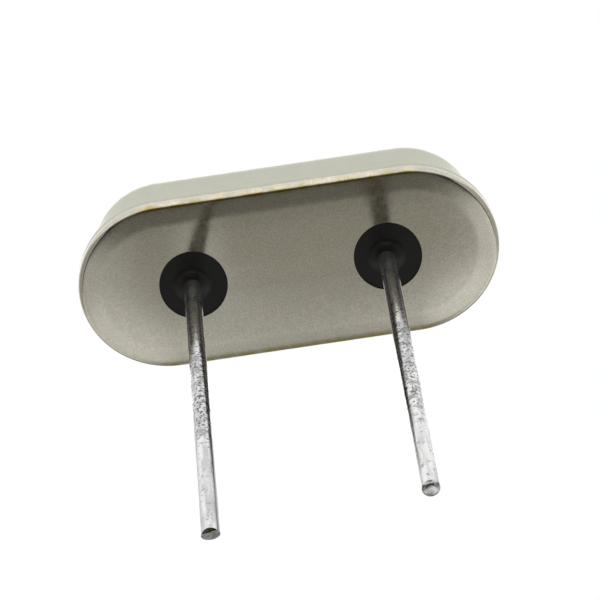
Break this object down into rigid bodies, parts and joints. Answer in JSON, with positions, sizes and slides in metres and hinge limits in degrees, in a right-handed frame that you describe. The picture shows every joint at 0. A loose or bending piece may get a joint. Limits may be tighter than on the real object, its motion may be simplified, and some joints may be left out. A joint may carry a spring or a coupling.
{
  "type": "crystal oscillator",
  "caption": "Low drawn metal can with half-round ends, welded by its flange to a coined base plate; wire leads pass through dark glass seals to a quartz strip held on spring clips.",
  "frame": {"origin": "centre of the base plate's flat underside, midway between the leads: the plane that seats on the board", "axes": "+Z from the seating plane to the top of the can, so the leads run down -Z; X along the can's length, through both leads; Y across its width"},
  "size_m": [0.0106, 0.0044, 0.0159],
  "materials": {
    "can_metal": "drawn sheet with satin nickel plating, golden heat tint along the welded flange",
    "base_metal": "coined plate with warm grey satin nickel plating",
    "seal_glass": "opaque near-black fired glass, smooth",
    "lead_metal": "hot-tinned wire, bright with small pits, dull grey beside the glass",
    "clip_metal": "thin spring strip, plain",
    "quartz": "lapped and etched clear quartz",
    "film_metal": "evaporated metal film",
    "adhesive": "cured metal-filled adhesive, dull"
  },
  "bodies": {
    "root": {"can": "can_metal", "base": "base_metal", "glass_seal_1": "seal_glass", "glass_seal_2": "seal_glass", "lead_1": "lead_metal", "lead_2": "lead_metal", "spring_clip_1": "clip_metal", "spring_clip_2": "clip_metal", "quartz_blank": "quartz", "electrode_top": "film_metal", "electrode_bottom": "film_metal", "adhesive_1": "adhesive", "adhesive_2": "adhesive"}
  },
  "joints": []
}
